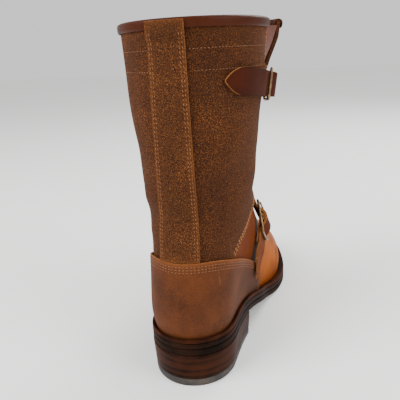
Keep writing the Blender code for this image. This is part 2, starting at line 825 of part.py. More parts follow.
def ribbon(name, belt, line, half_widths, thickness, material):
    """A flat strip of leather on a belt. line holds its middle as rows of s and h."""
    line = np.asarray(line)
    along = np.gradient(line, axis=0)
    along /= np.linalg.norm(along, axis=1, keepdims=True)
    out = np.stack([-along[:, 1], along[:, 0]], -1) * thickness / 2
    across = np.linspace(-1, 1, 3)[:, None] * np.asarray(half_widths)[None, :]
    faces = [belt.at((line + side * out)[:, 0], across, (line + side * out)[:, 1]) for side in (1, -1)]
    return walled(name, faces[0], faces[1], material)


def rod(belt, path, radius, sides=8):
    """Rings round a path of s, w, h: the sections of a wire that follows it."""
    path = np.asarray(path, float)
    along = np.gradient(path, axis=0)
    along /= np.linalg.norm(along, axis=1, keepdims=True)
    across, up = np.array([0.0, 1.0, 0.0]), np.array([0.0, 0.0, 1.0])
    hint = up if abs(along[0] @ across) > abs(along[0] @ up) and abs(along[0] @ across) > 0.7 else across
    first = np.cross(along, hint)
    first /= np.linalg.norm(first, axis=1, keepdims=True)
    second = np.cross(along, first)
    turns = np.arange(sides) * 2 * math.pi / sides
    spokes = np.cos(turns)[:, None] * first[:, None] + np.sin(turns)[:, None] * second[:, None]
    rings = path[:, None] + radius * spokes
    return belt.at(rings[..., 0], rings[..., 1], rings[..., 2])


def strap_rise(place):
    """Height of a strap's underside over the leather, place in half buckle lengths from the middle bar."""
    return strap_share(place) * STRAP_CREST


strap_share = column(STRAP_ROUTE, 1)


def strap_pieces(prefix, belt, fixed_length, free_length, point_length, hang):
    """A strap with its buckle: the strap, the tab that holds the buckle, the frame with its middle bar, and the
    prong."""
    strap_leather = leather(prefix + "_strap_leather", (0.085, 0.030, 0.020), 0.42)
    bronze = leather(prefix + "_buckle_metal", (0.20, 0.155, 0.10), 0.38, 1.0)
    half = BUCKLE_LENGTH / 2
    wire = BUCKLE_WIRE / 2
    crossing = half + wire
    s = np.concatenate(
        [
            np.linspace(-free_length, -free_length + point_length, 7)[:-1],
            np.linspace(-free_length + point_length, -crossing, 7)[:-1],
            np.linspace(-crossing, crossing, 19)[:-1],
            np.linspace(crossing, fixed_length, 4 + int(fixed_length / STRAP_STEP)),
        ]
    )
    free = np.maximum(-s - half, 0.0) / (free_length - half)
    under = strap_rise(s / half) + hang * free ** 1.5
    middle = under + STRAP_THICKNESS / 2
    tip = np.clip((s + free_length) / point_length, 0.0, 1.0)
    widths = (POINT_WIDTH + (STRAP_WIDTH - POINT_WIDTH) * np.sin(tip * math.pi / 2) ** POINT_FULLNESS) / 2
    strap = ribbon(prefix + "_strap", belt, np.stack([s, middle], -1), widths, STRAP_THICKNESS, strap_leather)

    turn_radius = wire + GAP + TAB_THICKNESS / 2
    turns = np.radians(np.linspace(-90, 195, 11))
    loop = np.stack([turn_radius * np.cos(turns), BAR_RISE + turn_radius * np.sin(turns)], -1)
    low = BAR_RISE - turn_radius
    lead = np.linspace(-TAB_LENGTH, -TAB_FOLD, 7)
    sink = low + (TAB_THICKNESS / 2 - low) * ease((-TAB_FOLD - lead) / (TAB_LENGTH / 3))
    line = np.concatenate([np.stack([lead, sink], -1), loop])
    narrow = STRAP_WIDTH / 2 - GAP
    tab = ribbon(prefix + "_buckle_tab", belt, line, np.full(len(line), narrow), TAB_THICKNESS, strap_leather)

    wide = STRAP_WIDTH / 2 + BUCKLE_PLAY + wire
    corner = FRAME_CORNER
    path = []
    for start, centre_s, centre_w in ((0, half - corner, wide - corner), (90, corner - half, wide - corner),
                                      (180, corner - half, corner - wide), (270, half - corner, corner - wide)):
        for turn in np.radians(start + np.array((0, 30, 60, 90))):
            path.append((centre_s + corner * math.cos(turn), centre_w + corner * math.sin(turn), 0.0))
    path = np.array(path)
    path[:, 2] = BAR_RISE - FRAME_TILT * path[:, 0]
    frame = hoop(prefix + "_buckle", belt, path, wire, bronze)
    ends = np.linspace(-wide, wide, 6)
    rung_path = np.stack([0 * ends, ends, BAR_RISE + 0 * ends], -1)
    rung = bar(prefix + "_middle_bar", rod(belt, rung_path, wire - BAR_SHRINK), bronze)
    join(frame, as_cutter(rung))

    pin = PRONG_WIRE / 2
    start_h = BAR_RISE + wire + GAP + pin
    end_h = BAR_RISE - FRAME_TILT * half + wire + 3 * GAP + pin
    prong_s = np.array([-0.12, 0.15, 0.45, 0.75, 1.0, 1.0 + PRONG_REACH / half]) * half
    prong_h = np.array([start_h, start_h, (start_h + end_h) / 2 + 0.5 * pin, end_h + 0.5 * pin, end_h, end_h])
    prong_path = np.stack([prong_s, 0 * prong_s, prong_h], -1)
    prong = bar(prefix + "_prong", rod(belt, prong_path, pin), bronze)
    clearance = pin + HOLE_PLAY
    stretch = prong_path * 1.0
    stretch[0, 0] -= 2 * wire
    stretch[-1, 0] += 2 * wire
    hole = bar(prefix + "_hole_cutter", rod(belt, stretch, clearance), bronze)
    as_cutter(hole)
    cut(strap, hole)
    cut(tab, hole)
    return [strap, tab, frame, prong]


def hoop(name, belt, path, radius, material, sides=8):
    """A closed ring of wire along a path of s, w, h."""
    along = np.roll(path, -1, axis=0) - np.roll(path, 1, axis=0)
    along /= np.linalg.norm(along, axis=1, keepdims=True)
    up = np.array([0.0, 0.0, 1.0])
    side = np.cross(along, up)
    side /= np.linalg.norm(side, axis=1, keepdims=True)
    over = np.cross(side, along)
    turns = np.arange(sides) * 2 * math.pi / sides
    spokes = np.cos(turns)[:, None] * side[:, None] + np.sin(turns)[:, None] * over[:, None]
    rings = path[:, None] + radius * spokes
    points = belt.at(rings[..., 0], rings[..., 1], rings[..., 2])
    count = len(path)
    faces = []
    for i in range(count):
        for k in range(sides):
            a, b = i * sides + k, i * sides + (k + 1) % sides
            c, d = ((i + 1) % count) * sides + (k + 1) % sides, ((i + 1) % count) * sides + k
            faces.append((a, b, c, d))
    return outwards(new_object(name, points.reshape(-1, 3), faces, material))


def bar(name, rings, material):
    """A solid along rings of points, closed at both ends."""
    count, sides = rings.shape[:2]
    faces = [tuple(range(sides)), tuple(range((count - 1) * sides, count * sides))[::-1]]
    for i in range(count - 1):
        for k in range(sides):
            a, b = i * sides + k, i * sides + (k + 1) % sides
            faces.append((b, a, a + sides, b + sides))
    return outwards(new_object(name, rings.reshape(-1, 3), faces, material))


def make_straps():
    top_z = COLLAR_Z - TOP_STRAP_DROP
    top = Belt(TOP_STRAP_LEAN, (TOP_STRAP_PLACE * UPPER_LENGTH, top_z), TOP_BAR_PHI)
    pieces = strap_pieces("top", top, TOP_STRAP_FIXED, TOP_STRAP_FREE, STRAP_POINT, 0.0)
    instep_place = (INSTEP_STRAP_PLACE * UPPER_LENGTH, SEAT_Z + INSTEP_STRAP_HEIGHT * ANKLE_RISE)
    instep = Belt(INSTEP_STRAP_LEAN, instep_place, INSTEP_BAR_PHI)
    pieces += strap_pieces("instep", instep, INSTEP_STRAP_FIXED, INSTEP_STRAP_FREE, INSTEP_TIP, INSTEP_STRAP_HANG)
    return pieces


# The boot

def clear_scene():
    for obj in list(bpy.data.objects):
        bpy.data.objects.remove(obj, do_unlink=True)


def main():
    clear_scene()
    carrier = bpy.data.objects.new("boot", None)
    carrier.location = (0.0, -HEEL_LENGTH / 2, 0.0)
    bpy.context.scene.collection.objects.link(carrier)
    pieces = make_sole() + [make_welt(), make_upper(), make_gusset(), make_counter()]
    pieces += [make_back_strip(), make_binding()] + make_straps()
    for obj in bpy.data.objects:
        if obj is not carrier:
            obj.parent = carrier
    return pieces


main()
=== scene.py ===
# %% [markdown]
# The engineer boot, dressed
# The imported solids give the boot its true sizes. This lesson copies each solid, rounds and
# refines the copy, presses the wear creases into it, sews it, and gives it a leather finish.
# Everything is in metres, the toe points to +Y and the outer side of the foot to +X.

# %% Load the solids
import json
import math

import bmesh
import bpy
import numpy as np
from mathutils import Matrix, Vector, kdtree
from mathutils.bvhtree import BVHTree

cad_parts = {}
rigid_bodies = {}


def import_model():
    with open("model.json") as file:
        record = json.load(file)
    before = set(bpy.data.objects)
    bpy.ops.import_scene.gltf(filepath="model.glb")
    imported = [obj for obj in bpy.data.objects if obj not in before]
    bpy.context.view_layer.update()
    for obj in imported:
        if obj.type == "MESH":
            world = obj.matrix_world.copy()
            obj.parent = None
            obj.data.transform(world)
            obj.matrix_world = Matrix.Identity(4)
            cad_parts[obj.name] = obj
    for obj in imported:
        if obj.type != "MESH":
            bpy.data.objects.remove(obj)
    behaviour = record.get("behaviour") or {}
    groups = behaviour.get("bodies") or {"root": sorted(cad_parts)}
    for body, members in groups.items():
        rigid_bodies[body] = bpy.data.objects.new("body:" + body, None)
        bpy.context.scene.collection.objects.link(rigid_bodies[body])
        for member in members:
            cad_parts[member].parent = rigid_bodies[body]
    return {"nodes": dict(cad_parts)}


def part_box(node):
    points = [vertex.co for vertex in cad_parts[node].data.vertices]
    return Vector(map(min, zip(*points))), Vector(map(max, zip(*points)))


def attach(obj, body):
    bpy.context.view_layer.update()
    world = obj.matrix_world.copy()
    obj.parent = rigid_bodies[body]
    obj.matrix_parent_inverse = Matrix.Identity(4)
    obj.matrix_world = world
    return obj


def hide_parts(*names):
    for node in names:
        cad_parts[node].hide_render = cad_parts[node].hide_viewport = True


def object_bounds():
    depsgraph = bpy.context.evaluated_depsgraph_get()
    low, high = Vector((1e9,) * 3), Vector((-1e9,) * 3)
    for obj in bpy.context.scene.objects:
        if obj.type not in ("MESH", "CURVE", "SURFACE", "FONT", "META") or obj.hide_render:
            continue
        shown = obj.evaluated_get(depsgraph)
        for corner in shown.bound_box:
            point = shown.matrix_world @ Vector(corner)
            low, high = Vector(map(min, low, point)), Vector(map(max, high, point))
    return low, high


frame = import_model()
solid_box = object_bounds()
print("solids:", len(frame["nodes"]))


# %% [markdown]
# Camera, floor and light
# The boot is seen from close behind and a little from its outer side, from just under the
# height of its collar, so the shaft looks wide at the top and the toe is small. A pale floor
# and a white room with two large soft lamps stand in for a studio.

# %% Set the stage
PICTURE = 400
SENSOR = 36
CAMERA_PLACE = Vector((0.1240, -0.3445, 0.2704))
CAMERA_AIM = Vector((0.0186, -0.0285, 0.1630))
CAMERA_ROLL = math.radians(-3.2)
FOCAL_PIXELS = 457
LAMP_AIM = Vector((0, 0.03, 0.12))
LAMPS = (
    # name, place, size, power
    ("lamp_left", (-0.9, -0.9, 1.3), 0.9, 33),
    ("lamp_right", (1.3, -0.3, 1.0), 0.8, 16),
    ("lamp_front", (0.5, 1.2, 1.2), 0.8, 16),
)
ROOM_LIGHT = 0.95
FLOOR_SIZE = 12


def add_camera():
    bpy.ops.object.camera_add(location=CAMERA_PLACE)
    camera = bpy.context.active_object
    camera.name = "camera"
    turn = (CAMERA_AIM - CAMERA_PLACE).to_track_quat("-Z", "Y").to_matrix().to_4x4()
    camera.matrix_world = (
        turn.Translation(CAMERA_PLACE) @ turn @ turn.Rotation(CAMERA_ROLL, 4, "Z")
    )
    camera.data.sensor_width = SENSOR
    camera.data.sensor_fit = "HORIZONTAL"
    camera.data.lens = SENSOR * FOCAL_PIXELS / PICTURE
    camera.data.clip_start = 0.01
    bpy.context.scene.camera = camera


def add_lamp(name, place, size, power):
    bpy.ops.object.light_add(type="AREA", location=place)
    lamp = bpy.context.active_object
    lamp.name = name
    lamp.data.size = size
    lamp.data.energy = power
    lamp.rotation_euler = (LAMP_AIM - Vector(place)).to_track_quat("-Z", "Y").to_euler()


add_camera()
for row in LAMPS:
    add_lamp(*row)
room = bpy.data.worlds.new("room")
room.use_nodes = True
room.node_tree.nodes["Background"].inputs["Color"].default_value = (1, 1, 1, 1)
room.node_tree.nodes["Background"].inputs["Strength"].default_value = ROOM_LIGHT
bpy.context.scene.world = room
bpy.ops.mesh.primitive_plane_add(size=FLOOR_SIZE, location=(0, 0, 0))
floor = bpy.context.active_object
floor.name = "floor"
print("camera at", tuple(round(v, 3) for v in CAMERA_PLACE), "lamps:", len(LAMPS))


# %% [markdown]
# Sums on sockets
# A finish is a sum of patterns. Adding Math nodes by hand hides the sum, so a small class
# wraps a socket and lets Python's own signs add the nodes.

# %% Sockets as numbers
class Value:
    """A node's output that can be used in Python sums."""

    def __init__(self, finish, socket):
        self.finish = finish
        self.socket = socket

    def sum(self, operation, first, second):
        return self.finish.node("ShaderNodeMath", {"operation": operation}, {0: first, 1: second})

    def __add__(self, other):
        return self.sum("ADD", self, other)

    def __sub__(self, other):
        return self.sum("SUBTRACT", self, other)

    def __rsub__(self, other):
        return self.sum("SUBTRACT", other, self)

    def __mul__(self, other):
        return self.sum("MULTIPLY", self, other)

    def __truediv__(self, other):
        return self.sum("DIVIDE", self, other)

    __radd__ = __add__
    __rmul__ = __mul__

    def step(self, low, high):
        """0 below low, 1 above high, and a soft step between."""
        return self.finish.node(
            "ShaderNodeMapRange",
            {"interpolation_type": "SMOOTHSTEP"},
            {"Value": self, "From Min": low, "From Max": high},
        )


class Finish:
    """A material with one method that adds any node."""

    def __init__(self, name):
        self.material = bpy.data.materials.new(name)
        self.material.use_nodes = True
        self.tree = self.material.node_tree
        self.shader = self.tree.nodes["Principled BSDF"]
        self.position = self.node("ShaderNodeTexCoord", output="Object")

    def node(self, kind, settings=None, sockets=None, output=0):
        made = self.tree.nodes.new(kind)
        for name, value in (settings or {}).items():
            setattr(made, name, value)
        for name, value in (sockets or {}).items():
            self.put(made.inputs[name], value)
        return Value(self, made.outputs[output])

    def put(self, socket, value):
        if isinstance(value, Value):
            self.tree.links.new(value.socket, socket)
        elif socket.type == "RGBA":
            socket.default_value = (*value[:3], 1.0)
        else:
            socket.default_value = value

    def noise(self, scale, detail, roughness, vector=None):
        sockets = {
            "Vector": vector or self.position,
            "Scale": scale,
            "Detail": detail,
            "Roughness": roughness,
        }
        return self.node("ShaderNodeTexNoise", {}, sockets)

    def cells(self, scale):
        sockets = {"Vector": self.position, "Scale": scale}
        return self.node("ShaderNodeTexVoronoi", {}, sockets, "Distance")

    def stretched(self, x, y, z, turn=(0.0, 0.0, 0.0)):
        """The position, squeezed along each axis, so that a pattern on it is drawn out."""
        sockets = {"Vector": self.position, "Rotation": turn, "Scale": (x, y, z)}
        return self.node("ShaderNodeMapping", {}, sockets)

    def mixed(self, factor, first, second):
        """Two colours mixed. The Mix node's colour sockets are 6 and 7, and its colour result is 2."""
        return self.node(
            "ShaderNodeMix",
            {"data_type": "RGBA"},
            {0: factor, 6: first, 7: second},
            2,
        )

    def mark(self, name):
        """A value that the piece carries at its points."""
        return self.node("ShaderNodeAttribute", {"attribute_name": name}, output="Fac")

    def place(self, axis):
        """The position along one axis, in metres."""
        return self.node("ShaderNodeSeparateXYZ", {}, {"Vector": self.position}, output=axis)

    def bumped(self, height, distance, strength):
        return self.node(
            "ShaderNodeBump",
            {},
            {"Height": height, "Distance": distance, "Strength": strength},
        )

    def done(self, colour, roughness, normal=None, **constants):
        self.put(self.shader.inputs["Base Color"], colour)
        self.put(self.shader.inputs["Roughness"], roughness)
        if normal is not None:
            self.put(self.shader.inputs["Normal"], normal)
        for name, value in constants.items():
            self.put(self.shader.inputs[name.replace("_", " ")], value)
        return self.material


def paint(red, green, blue):
    """A colour as a paint chart gives it, 0 to 255, made linear for the shader."""
    return tuple(
        (v / 255 / 12.92 if v < 10.3 else ((v / 255 + 0.055) / 1.055) ** 2.4)
        for v in (red, green, blue)
    )


print("finish helpers ready")


# %% [markdown]
# The rough-out leather
# The shaft and the back strip are turned with the flesh side out: a coarse nap, dark in its
# pits, with tan and orange tips, and cloudy where it has been brushed. Two sizes of noise
# make the pits, one large soft noise the clouds, and the raw edges are lighter.

# %% Rough-out leather
def rough_out(name, dark, middle, tip, warmth):
    f = Finish(name)
    grain = f.noise(1450, 3.0, 0.6)
    fine = f.noise(3200, 2.0, 0.6)
    pits = f.cells(1200)
    cloud = f.noise(26, 3.0, 0.55)
    brushed = f.noise(9, 2.0, 0.5, f.stretched(1.0, 1.0, 0.45))
    speck = grain * 0.7 + fine * 0.3
    tone = f.mixed(speck.step(0.36, 0.56), dark, middle)
    tips = (speck + cloud * 0.05 - 0.025).step(0.52, 0.66)
    tone = f.mixed(tips * (0.6 + warmth * (cloud - 0.5)), tone, tip)
    shade = (cloud * 0.5 + brushed * 0.5).step(0.38, 0.64)
    tone = f.mixed((1 - shade) * 0.22, tone, dark)
    edge = f.mark("edge")
    tone = f.mixed(edge * (0.02 + 0.42 * speck), tone, paint(140, 80, 36))
    height = speck * 0.8 - pits * 0.35
    normal = f.bumped(height, 0.0009, 0.85)
    return f.done(
        tone, 0.84 + 0.15 * speck, normal,
        Sheen_Weight=0.06,
        Sheen_Roughness=0.6,
        Sheen_Tint=paint(170, 100, 54),
        Specular_IOR_Level=0.12,
    )


shaft_finish = rough_out(
    "rough_out_shaft", paint(21, 10, 5), paint(66, 35, 15), paint(160, 97, 50), 0.5
)
strip_finish = rough_out(
    "rough_out_strip", paint(23, 11, 6), paint(74, 41, 18), paint(166, 103, 55), 0.6
)
print("rough-out leather ready")


# %% [markdown]
# The waxed counter
# The counter is a finer nap rubbed flat with wax: warm brown, clouded darker where hands
# have touched it and darker towards the bottom, with a few pale scratches, and nearly smooth.

# %% Waxed nubuck
def waxed_nubuck(name):
    f = Finish(name)
    cloud = f.noise(34, 4.0, 0.6)
    wide = f.noise(13, 2.0, 0.5)
    nap = f.noise(1700, 3.0, 0.65)
    tone = f.mixed(cloud.step(0.34, 0.66), paint(54, 25, 9), paint(78, 38, 15))
    tone = f.mixed(wide.step(0.5, 0.68) * 0.45, tone, paint(44, 23, 12))
    tone = f.mixed(nap.step(0.44, 0.66) * 0.5, tone, paint(112, 66, 32))
    scratch = f.noise(150, 2.0, 0.5, f.stretched(1.0, 1.0, 0.06, (0.5, 0.7, 0.4)))
    worn = scratch.step(0.68, 0.74) * cloud.step(0.45, 0.6)
    tone = f.mixed(worn * 0.25, tone, paint(140, 88, 48))
    edge = f.mark("edge")
    tone = f.mixed(edge * 0.5, tone, paint(132, 74, 34))
    # Darker towards the bottom of the counter.
    tone = f.mixed((1 - (f.place("Z") - 0.036).step(0.0, 0.016)) * 0.5, tone, paint(40, 18, 8))
    normal = f.bumped(nap * 0.6 + cloud * 0.7 - worn * 0.3, 0.0006, 0.55)
    return f.done(tone, 0.62 + 0.18 * nap - 0.12 * worn, normal, Specular_IOR_Level=0.12)


counter_finish = waxed_nubuck("waxed_nubuck")
print("nubuck ready")


# %% [markdown]
# Smooth leathers
# The vamp, the binding, the straps and the gusset are grain side out. They share one recipe
# of pores, a slow pull of colour and a fine crumple, and differ in tone, gloss and how deep
# the grain is. The vamp also has shade painted into its colour near the sole, behind the ankle
# and in its creases.

# %% Smooth leather
def smooth_leather(name, dark, light, roughness, shine, pores, wrinkle, painted_shade):
    f = Finish(name)
    pull = f.noise(20, 4.0, 0.55)
    fine = f.noise(900, 3.0, 0.65)
    grain = f.cells(1250)
    crumple = f.noise(240, 3.0, 0.6, f.stretched(1.0, 0.45, 1.0))
    tone = f.mixed(pull.step(0.3, 0.7), dark, light)
    tone = f.mixed((1 - crumple.step(0.36, 0.5)) * 0.22, tone, dark)
    tone = f.mixed(fine.step(0.45, 0.7) * 0.3, tone, light)
    # Painted shade: the vamp is darkened near the sole, behind the ankle and in its crease hollows.
    if painted_shade:
        low = 1 - (f.place("Z") - 0.020).step(0.0, 0.030)
        back = 1 - f.place("Y").step(0.050, 0.115)
        tone = f.mixed(low * 0.6, tone, painted_shade)
        tone = f.mixed(back * 0.85, tone, painted_shade)
        tone = f.mixed(f.mark("hollow") * 0.5, tone, painted_shade)
    edge = f.mark("edge")
    tone = f.mixed(edge * 0.35, tone, dark)
    height = grain * pores + crumple * wrinkle + pull * 0.4 + fine * 0.2
    normal = f.bumped(height, 0.0005, 0.45)
    gloss = roughness + 0.16 * crumple - 0.08 * pull
    return f.done(tone, gloss, normal, Specular_IOR_Level=shine)


SMOOTH = (
    # name, dark, light, roughness, shine, pores, wrinkle, painted shade
    # The vamp's last colour is the shade painted near its sole, behind its ankle and in its creases.
    ("oiled_vamp", (120, 56, 12), (166, 88, 24), 0.44, 0.012, 0.22, 0.6, (70, 27, 10)),
    ("binding_leather", (44, 18, 8), (70, 32, 16), 0.36, 0.06, 0.3, 0.4, None),
    ("strap_leather", (44, 17, 8), (64, 27, 13), 0.45, 0.03, 0.3, 0.5, None),
    ("instep_leather", (62, 26, 10), (96, 45, 19), 0.5, 0.012, 0.3, 0.5, None),
    ("gusset_leather", (66, 36, 30), (110, 70, 60), 0.40, 0.12, 0.3, 0.9, None),
    ("lining_leather", (112, 70, 38), (156, 106, 64), 0.66, 0.1, 0.3, 0.5, None),
    ("footbed_leather", (130, 86, 50), (176, 128, 82), 0.72, 0.1, 0.3, 0.4, None),
)
smooth = {}
for name, dark, light, roughness, shine, pores, wrinkle, painted_shade in SMOOTH:
    smooth[name] = smooth_leather(
        name, paint(*dark), paint(*light), roughness, shine, pores, wrinkle, painted_shade and paint(*painted_shade)
    )
print("smooth leathers:", len(smooth))


# %% [markdown]
# Cut edges
# A cut edge shows the fibres between the two faces of the leather: pale where it is fresh,
# dark and matt where it has been handled.

# %% Cut edge
def cut_edge(name, pale, deep):
    f = Finish(name)
    fibre = f.noise(1700, 3.0, 0.7)
    patch = f.noise(300, 3.0, 0.5)
    tone = f.mixed(fibre.step(0.35, 0.65), deep, pale)
    tone = f.mixed(patch.step(0.45, 0.62) * 0.5, tone, deep)
    return f.done(tone, 0.8, f.bumped(fibre, 0.0004, 0.7), Specular_IOR_Level=0.1)


pale_edge = cut_edge("pale_cut_edge", paint(170, 112, 62), paint(104, 58, 27))
brown_edge = cut_edge("brown_cut_edge", paint(88, 46, 21), paint(32, 15, 7))
print("cut edges ready")


# %% [markdown]
# Thread
# Waxed linen thread, with a slanting twist that only shows from close by.

# %% Thread
def thread(name, light, dark):
    f = Finish(name)
    twist = f.noise(2600, 1.0, 0.5, f.stretched(1.0, 1.0, 0.4, (0.6, 0.3, 0.0)))
    tone = f.mixed(twist.step(0.4, 0.6), dark, light)
    return f.done(tone, 0.7, f.bumped(twist, 0.0003, 0.6))


gold_thread = thread("gold_thread", paint(190, 134, 72), paint(120, 74, 34))
tan_thread = thread("tan_thread", paint(140, 90, 48), paint(80, 44, 20))
print("threads ready")


# %% [markdown]
# Dressed edges and rubber
# The edges of the welt, the midsole and the outsole are dressed with dark wax, and the heel
# shows the layers that it is stacked from. Only its bottom piece is bare rubber.

# %% Sole and heel
def dressed_edge(name, dark, light, roughness, layers=0.0):
    f = Finish(name)
    rub = f.noise(46, 4.0, 0.6)
    fibre = f.noise(900, 3.0, 0.6, f.stretched(0.5, 0.5, 1.0))
    tone = f.mixed(rub.step(0.35, 0.68), dark, light)
    height = fibre * 0.5 + rub * 0.4
    if layers:
        wave = (f.place("Z") + rub * 0.0012) / layers
        saw = f.node("ShaderNodeMath", {"operation": "FRACT"}, {0: wave})
        line = 1 - saw.step(0.0, 0.12) + saw.step(0.9, 1.0)
        tone = f.mixed(line * 0.55, tone, paint(12, 7, 5))
        bands = f.noise(1.0, 0.0, 0.5, f.stretched(0.2, 0.2, 1 / layers))
        tone = f.mixed(bands.step(0.4, 0.62) * 0.4, tone, paint(70, 36, 20))
        height = height - line * 0.6
    tone = f.mixed(f.mark("edge") * 0.1, tone, light)
    normal = f.bumped(height, 0.0004, 0.5)
    return f.done(tone, roughness + 0.22 * rub, normal, Specular_IOR_Level=0.03)


HEEL_LAYER = 0.0056
stack_finish = dressed_edge("stacked_heel", paint(18, 9, 5), paint(46, 23, 13), 0.32, HEEL_LAYER)
midsole_finish = dressed_edge("midsole_edge", paint(18, 10, 6), paint(40, 22, 13), 0.40)
outsole_finish = dressed_edge("outsole_edge", paint(14, 8, 5), paint(34, 19, 12), 0.42)
welt_finish = dressed_edge("welt_leather", paint(30, 13, 6), paint(60, 28, 13), 0.44)


def oiled_rubber(name):
    f = Finish(name)
    grit = f.noise(1300, 2.0, 0.6)
    scuff = f.noise(60, 4.0, 0.6)
    tone = f.mixed(scuff.step(0.4, 0.7), paint(28, 22, 19), paint(66, 55, 47))
    return f.done(tone, 0.55 + 0.2 * scuff, f.bumped(grit + scuff, 0.0004, 0.4))


rubber_finish = oiled_rubber("oiled_rubber")
print("sole finishes ready")


# %% [markdown]
# Bronze and the floor
# The buckles are browned bronze, lighter where the straps rub them. The floor is plain.

# %% Bronze
def bronze(name):
    f = Finish(name)
    patina = f.noise(900, 3.0, 0.6)
    worn = f.noise(260, 2.0, 0.5)
    tone = f.mixed(patina.step(0.35, 0.65), paint(80, 64, 46), paint(132, 106, 74))
    tone = f.mixed(worn.step(0.5, 0.7) * 0.5, tone, paint(184, 146, 92))
    normal = f.bumped(patina, 0.0002, 0.4)
    return f.done(tone, 0.26 + 0.24 * patina, normal, Metallic=0.92)


metal_finish = bronze("browned_bronze")


def studio_floor():
    f = Finish("pale_floor")
    soft = f.noise(3, 2.0, 0.5)
    tone = f.mixed(soft * 0.3, paint(252, 251, 250), paint(246, 245, 243))
    return f.done(tone, 0.7 + 0.1 * soft)


floor.data.materials.append(studio_floor())
print("materials:", len(bpy.data.materials))


# %% [markdown]
# Wear creases
# A boot that has been tried on folds where the ankle bends and waves softly up the shaft.
# Each crease is a soft trough of a few millimetres with a low ridge on both sides, written
# in the boot's own sizes and pressed into every piece that lies there.

# %% The creases
ANKLE_Z = 0.128
CREASES = (
    # x, y, z of the middle, direction along it, length, width, depth
    ((0.000, 0.104, ANKLE_Z + 0.012), (1.0, 0.00, 0.10), 0.045, 0.0065, 0.0022),
    ((0.012, 0.101, ANKLE_Z + 0.036), (1.0, 0.00, -0.16), 0.040, 0.0075, 0.0020),
    ((-0.014, 0.100, ANKLE_Z + 0.058), (1.0, 0.00, 0.22), 0.036, 0.0090, 0.0016),
    ((0.044, 0.062, ANKLE_Z + 0.030), (0.1, 0.80, 0.45), 0.040, 0.0090, 0.0018),
    ((-0.043, 0.060, ANKLE_Z + 0.034), (0.1, -0.80, -0.40), 0.040, 0.0090, 0.0018),
    ((0.040, 0.000, ANKLE_Z + 0.046), (0.5, 0.80, 0.70), 0.060, 0.0140, 0.0016),
    ((0.047, 0.020, ANKLE_Z + 0.100), (0.4, 0.70, -0.55), 0.055, 0.0150, 0.0013),
    ((-0.045, 0.010, ANKLE_Z + 0.075), (-0.4, 0.70, 0.50), 0.055, 0.0150, 0.0013),
    ((-0.030, -0.014, ANKLE_Z + 0.016), (-0.7, 0.50, -0.20), 0.034, 0.0070, 0.0018),
    ((0.030, -0.012, ANKLE_Z + 0.006), (0.7, 0.50, -0.35), 0.030, 0.0080, 0.0012),
    ((0.000, 0.138, 0.078), (1.0, 0.10, 0.00), 0.040, 0.0050, 0.0012),
    ((0.004, 0.150, 0.070), (1.0, -0.12, 0.00), 0.038, 0.0045, 0.0010),
    ((0.046, 0.150, 0.040), (0.3, 0.85, 0.35), 0.022, 0.0050, 0.0016),
)
RIDGE = 0.45
RIDGE_PLACE = 2.1
RUN_OUT = 0.62


def crease_depth(points):
    """How deep the leather is pressed in at each of the points: a trough with a ridge on both sides."""
    total = np.zeros(len(points))
    for middle, direction, length, width, depth in CREASES:
        direction = np.array(direction) / np.linalg.norm(direction)
        away = points - np.array(middle)
        along = away @ direction
        across = np.linalg.norm(away - along[:, None] * direction, axis=1) / width
        fade = np.exp(-((along / (RUN_OUT * length)) ** 4))
        ridge = RIDGE * np.exp(-((across - RIDGE_PLACE) ** 2))
        total += depth * fade * (np.exp(-(across**2)) - ridge)
    return total


print("creases:", len(CREASES))


# %% [markdown]
# From solid to finished piece
# Each solid is copied, its triangles are joined back into quads, its corners are bevelled
# like shaved leather, and a Subdivision Surface makes it smooth. Its faces fall into
# patches between sharp corners: the widest patch is the face that shows, the next one its
# back, and what is left are the cut edges, so each gets its own material.

# %% Patches
SHARP = math.radians(38)
MERGE = 0.00001
SMOOTHING = 2
RIM, FACE, BACK, VAMP = range(4)


def patches(mesh):
    """Face lists between sharp corners, widest first."""
    seen = set()
    found = []
    for start in mesh.faces:
        if start.index in seen:
            continue
        group, todo = [], [start]
        seen.add(start.index)
        while todo:
            face = todo.pop()
            group.append(face)
            for edge in face.edges:
                if len(edge.link_faces) == 2 and edge.calc_face_angle(4.0) < SHARP:
                    for other in edge.link_faces:
                        if other.index not in seen:
                            seen.add(other.index)
                            todo.append(other)
        found.append(group)
    return sorted(found, key=lambda group: -sum(face.calc_area() for face in group))


def only(obj):
    bpy.ops.object.select_all(action="DESELECT")
    obj.select_set(True)
    bpy.context.view_layer.objects.active = obj


def copy_solid(node, name):
    """A copy of a solid's mesh, with its points merged and its triangles joined."""
    only(frame["nodes"][node])
    bpy.ops.object.duplicate()
    piece = bpy.context.active_object
    bpy.ops.object.parent_clear(type="CLEAR_KEEP_TRANSFORM")
    for key in list(piece.keys()):
        del piece[key]
    piece.name = name
    piece.data.materials.clear()
    bpy.ops.object.mode_set(mode="EDIT")
    bpy.ops.mesh.select_all(action="SELECT")
    bpy.ops.mesh.remove_doubles(threshold=MERGE)
    bpy.ops.mesh.tris_convert_to_quads(
        face_threshold=math.radians(35), shape_threshold=math.radians(75)
    )
    bpy.ops.mesh.normals_make_consistent(inside=False)
    bpy.ops.object.mode_set(mode="OBJECT")
    return piece


def slotted(piece, face, back, rim):
    """Gives the three kinds of patch their materials."""
    for finish in (rim, face, back):
        piece.data.materials.append(finish)
    mesh = bmesh.new()
    mesh.from_mesh(piece.data)
    for item in mesh.faces:
        item.material_index = RIM
    for kind, group in zip((FACE, BACK), patches(mesh)):
        for item in group:
            item.material_index = kind
    mesh.to_mesh(piece.data)
    mesh.free()


